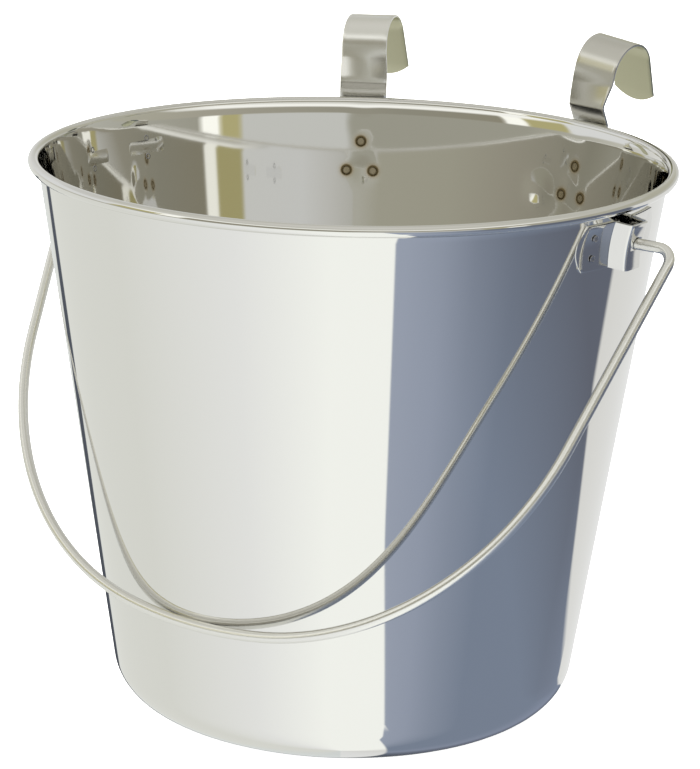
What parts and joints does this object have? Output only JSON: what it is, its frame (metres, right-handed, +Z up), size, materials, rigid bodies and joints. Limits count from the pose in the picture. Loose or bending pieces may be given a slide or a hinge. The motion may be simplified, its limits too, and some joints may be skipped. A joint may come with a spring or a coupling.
{
  "type": "feed bucket",
  "caption": "Round tapered stainless steel feed bucket with a curled rim, a swinging wire bail in side ears, and flat strap hooks that hang it over a fence board.",
  "frame": {"origin": "middle of the flat base, on the surface that the bucket stands on", "axes": "+Z up along the bucket's axis, +Y towards the hooked back, +X to the right seen from the front; the bail turns about X"},
  "size_m": [0.3422, 0.3363, 0.3026],
  "materials": {
    "polished_stainless": "mirror-polished stainless steel sheet",
    "bright_wire": "satin drawn stainless steel wire",
    "weld_steel": "heat-tinted spot-weld metal"
  },
  "bodies": {
    "bucket": {"bucket_body": "polished_stainless", "ear_left": "polished_stainless", "ear_right": "polished_stainless", "hook_left": "polished_stainless", "hook_right": "polished_stainless", "hook_left_welds": "weld_steel", "hook_right_welds": "weld_steel", "ear_left_welds": "weld_steel", "ear_right_welds": "weld_steel"},
    "bail": {"bail_handle": "bright_wire"}
  },
  "joints": [
    {"name": "bail_swing", "type": "hinge", "parent": "bucket", "child": "bail", "pos_m": [0, 0, 0.2425], "axis": [-1, 0, 0], "range_deg": [0, 291.4]}
  ]
}
